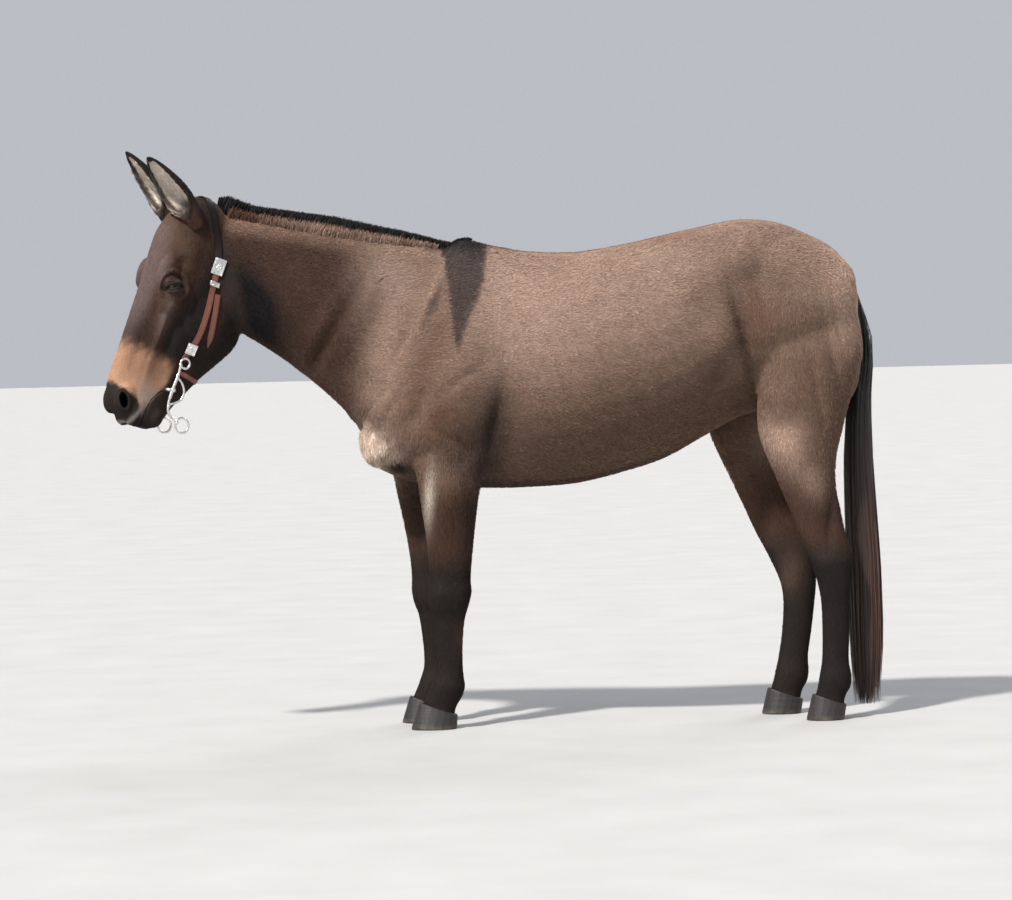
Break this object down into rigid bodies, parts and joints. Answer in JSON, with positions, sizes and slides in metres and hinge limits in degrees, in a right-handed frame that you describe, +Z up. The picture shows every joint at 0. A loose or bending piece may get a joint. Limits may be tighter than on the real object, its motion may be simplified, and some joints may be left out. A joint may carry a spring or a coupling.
{
  "type": "mule, life-size still model",
  "caption": "Standing mule wearing a western bridle, life size, as a still museum model with a clipped mane and a full tail.",
  "frame": {"origin": "on the floor, under the middle of the model's box", "axes": "+Z up, -X is where the mule faces, -Y is its left side"},
  "size_m": [2.3062, 0.5602, 1.7407],
  "materials": {
    "coat": "short brown hair",
    "dark_coat": "short black-brown hair",
    "black_hair": "long black hair",
    "hoof_horn": "dull black horn",
    "eye": "wet dark eye",
    "leather": "oiled russet leather",
    "black_leather": "black leather",
    "polished_steel": "polished"
  },
  "bodies": {
    "root": {"head": "coat", "neck": "coat", "torso": "coat", "left_ear": "coat", "right_ear": "coat", "left_front_leg": "dark_coat", "left_hind_leg": "dark_coat", "left_front_hoof": "hoof_horn", "left_hind_hoof": "hoof_horn", "left_eye": "eye", "left_cheek_strap": "leather", "left_billet": "leather", "left_upper_buckle": "polished_steel", "left_keeper": "polished_steel", "left_lower_buckle": "polished_steel", "left_bit": "polished_steel", "right_front_leg": "dark_coat", "right_hind_leg": "dark_coat", "right_front_hoof": "hoof_horn", "right_hind_hoof": "hoof_horn", "right_eye": "eye", "right_cheek_strap": "leather", "right_billet": "leather", "right_upper_buckle": "polished_steel", "right_keeper": "polished_steel", "right_lower_buckle": "polished_steel", "right_bit": "polished_steel", "tail": "black_hair", "curb_strap": "leather", "crown_strap": "black_leather"}
  },
  "joints": []
}
